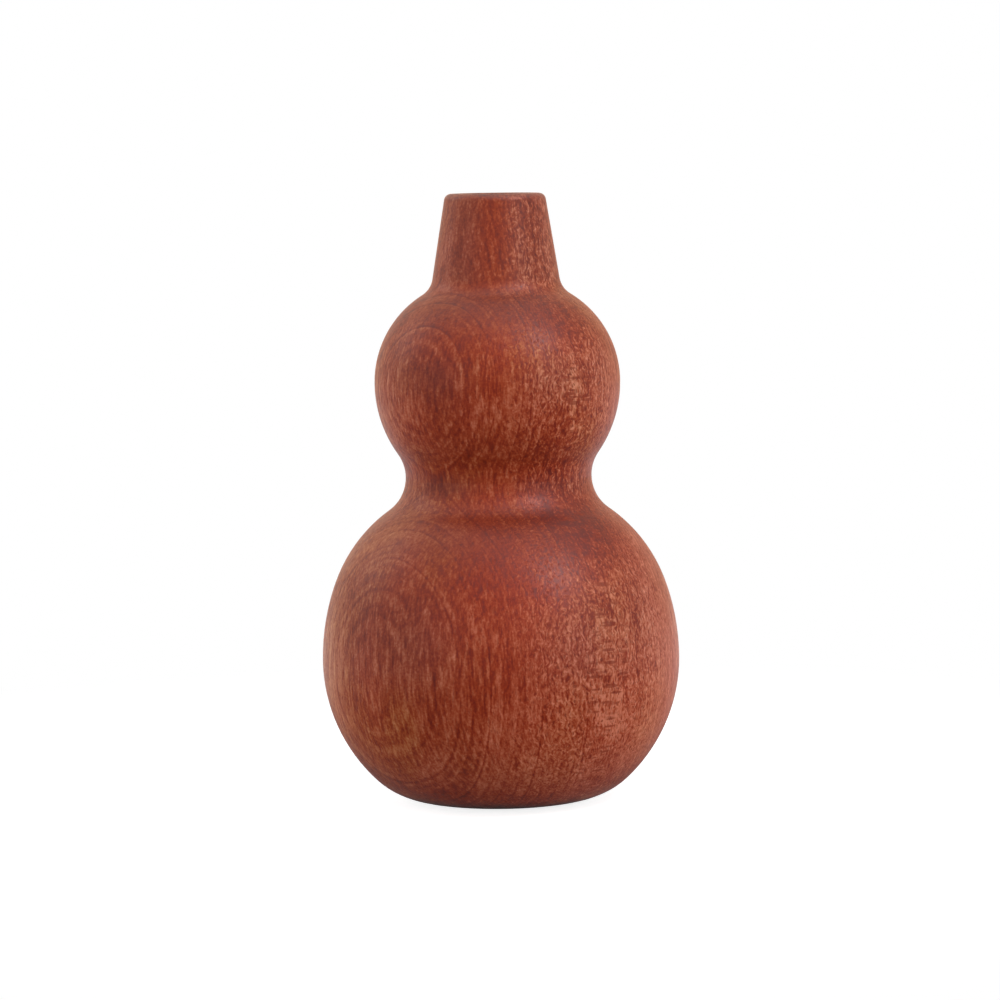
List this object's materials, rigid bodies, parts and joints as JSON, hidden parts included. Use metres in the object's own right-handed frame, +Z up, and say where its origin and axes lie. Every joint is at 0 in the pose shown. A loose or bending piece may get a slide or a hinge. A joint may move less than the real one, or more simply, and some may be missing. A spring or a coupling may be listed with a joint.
{
  "type": "gourd vase",
  "caption": "Gourd-shaped turned wooden vase: a round belly, a smaller bulb and a short tapered neck that holds a lift-out glass tube for stems, on a felt base pad.",
  "frame": {"origin": "centre of the felt pad's underside, on the table top", "axes": "+Z up along the axis of turning, from the foot to the mouth; -Y faces the camera of the picture"},
  "size_m": [0.1, 0.1, 0.17],
  "materials": {
    "turned_wood": "satin oiled red-brown hardwood",
    "liner_glass": "clear, fire-polished",
    "base_felt": "dense wool felt"
  },
  "bodies": {
    "vase": {"lower_bulb": "turned_wood", "upper_bulb": "turned_wood", "base_pad": "base_felt"},
    "liner": {"glass_tube": "liner_glass"}
  },
  "joints": [
    {"name": "tube_lift", "type": "slide", "parent": "vase", "child": "liner", "axis": [0, 0, 1], "range_m": [0, 0.155]}
  ]
}
